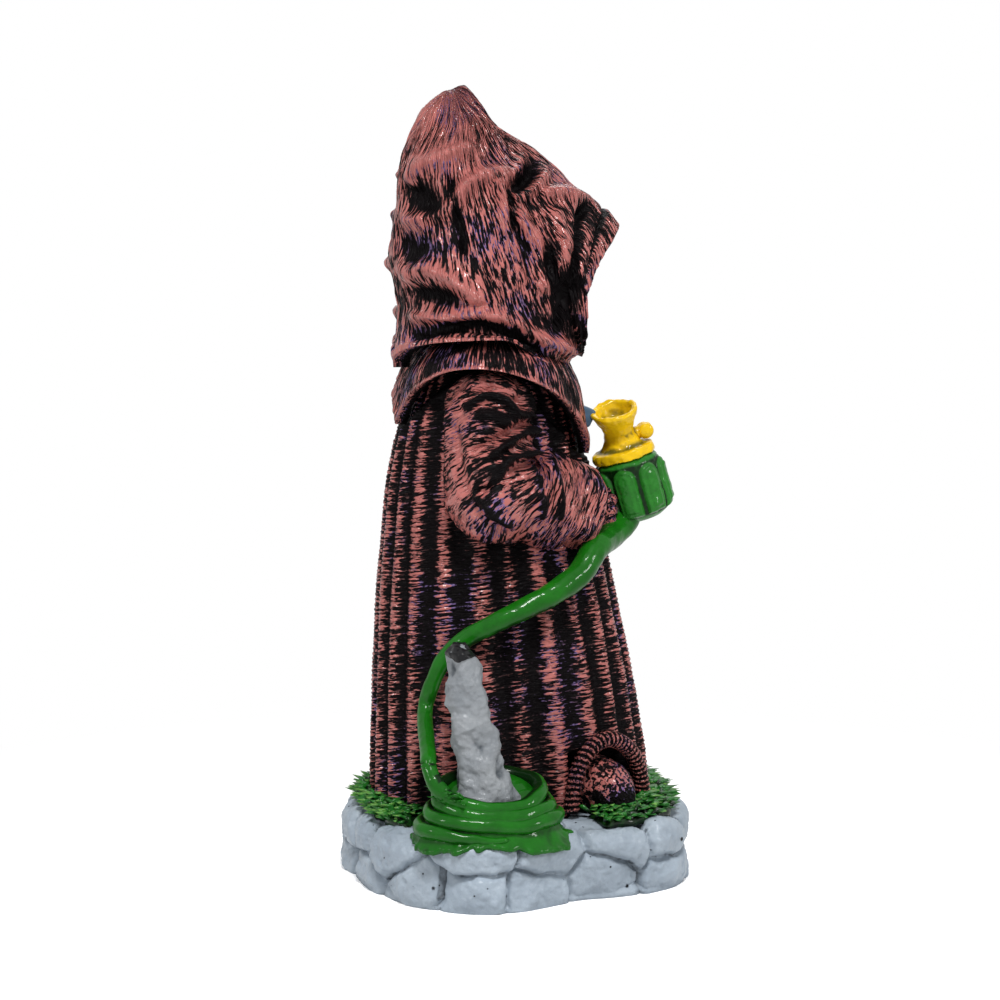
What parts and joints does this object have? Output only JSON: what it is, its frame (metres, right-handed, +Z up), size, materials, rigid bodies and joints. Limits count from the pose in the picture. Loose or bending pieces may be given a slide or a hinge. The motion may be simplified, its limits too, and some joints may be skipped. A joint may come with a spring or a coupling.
{
  "type": "garden monk figurine",
  "caption": "Hooded monk with a garden hose, standing on a cobbled plinth beside a coil of hose and a rock post; a cast and painted shelf or tabletop figure.",
  "frame": {"origin": "middle of the plinth's underside, on the surface that the figure stands on", "axes": "+Z up; the figure faces -Y; its right hand, the coil and the post are on the -X side"},
  "size_m": [0.0662, 0.0641, 0.1492],
  "materials": {
    "stone_paint": "cast resin, grey-blue paint over a dark wash, glossy varnish, small casting pinholes",
    "robe_paint": "cast resin, black base coat dry-brushed with dusty terracotta pink on the raised threads, glossy varnish",
    "skin_paint": "cast resin, flesh paint with a brown wash in the hollows, glossy varnish",
    "clasp_paint": "cast resin, slate-blue paint, glossy varnish",
    "post_paint": "cast resin, light grey paint with darker hollows, glossy varnish",
    "cap_paint": "cast resin, black paint, glossy varnish",
    "hose_paint": "cast resin, mid green paint with dark green and black in the hollows, glossy varnish",
    "nozzle_paint": "cast resin, yellow-orange paint with an olive wash in the hollows, glossy varnish",
    "grass_paint": "cast resin, dark green paint with yellow-green tips, glossy varnish",
    "pin_steel": "plain steel wire pin, hidden inside the joints"
  },
  "bodies": {
    "root": {"plinth": "stone_paint", "robe": "robe_paint", "mantle": "robe_paint", "hood": "robe_paint", "head": "skin_paint", "sleeve_right": "robe_paint", "sleeve_left": "robe_paint", "hand_right": "skin_paint", "hand_left": "skin_paint", "boot_right": "robe_paint", "boot_left": "robe_paint", "boot_trim_right": "robe_paint", "boot_trim_left": "robe_paint", "mantle_clasp": "clasp_paint", "rock_post": "post_paint", "post_cap": "cap_paint", "hose_coil": "hose_paint", "hose": "hose_paint", "hose_coupling": "hose_paint", "nozzle": "nozzle_paint", "nozzle_valve": "nozzle_paint", "grass_front": "grass_paint", "grass_rear_right": "grass_paint", "grass_rear_left": "grass_paint", "robe_pins": "pin_steel", "neck_pin": "pin_steel", "shoulder_pegs": "pin_steel", "boot_pegs": "pin_steel", "post_pin": "pin_steel", "nozzle_pin": "pin_steel"}
  },
  "joints": []
}
